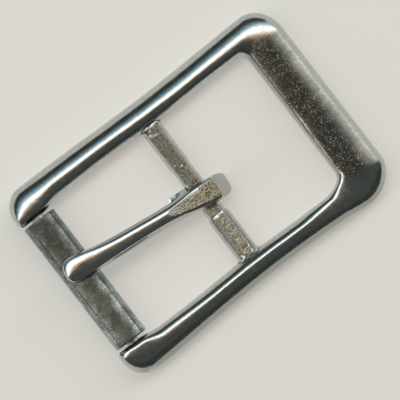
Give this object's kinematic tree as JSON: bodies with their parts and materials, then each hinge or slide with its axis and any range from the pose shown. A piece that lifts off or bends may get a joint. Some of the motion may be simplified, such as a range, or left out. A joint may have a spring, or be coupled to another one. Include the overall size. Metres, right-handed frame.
{
  "type": "belt buckle",
  "caption": "Rectangular centre-bar belt buckle: a cast frame with a free roller between lugs and a tongue hinged on the middle bar.",
  "frame": {"origin": "middle of the overall box, on the plane of the flat back", "axes": "+X from the roller to the wide end bar, +Y along the centre bar, +Z out of the flat back, away from the belt"},
  "size_m": [0.065, 0.0446, 0.0099],
  "materials": {
    "plated_casting": "polished nickel plate over a casting, as-cast on the centre bar",
    "plated_pin": "plated steel wire",
    "plated_roller": "satin nickel plate with fine scratches",
    "plated_tongue": "polished nickel plate with a rough ground flat"
  },
  "bodies": {
    "frame": {"frame_casting": "plated_casting", "roller_pin": "plated_pin"},
    "roller": {"roller": "plated_roller"},
    "tongue": {"tongue": "plated_tongue"}
  },
  "joints": [
    {"name": "roller_spin", "type": "hinge", "parent": "frame", "child": "roller", "pos_m": [-0.0284, 0, 0.00375], "axis": [0, 1, 0], "continuous": true},
    {"name": "tongue_hinge", "type": "hinge", "parent": "frame", "child": "tongue", "pos_m": [0, 0, 0.00375], "axis": [0, 1, 0], "range_deg": [0, 159]}
  ]
}
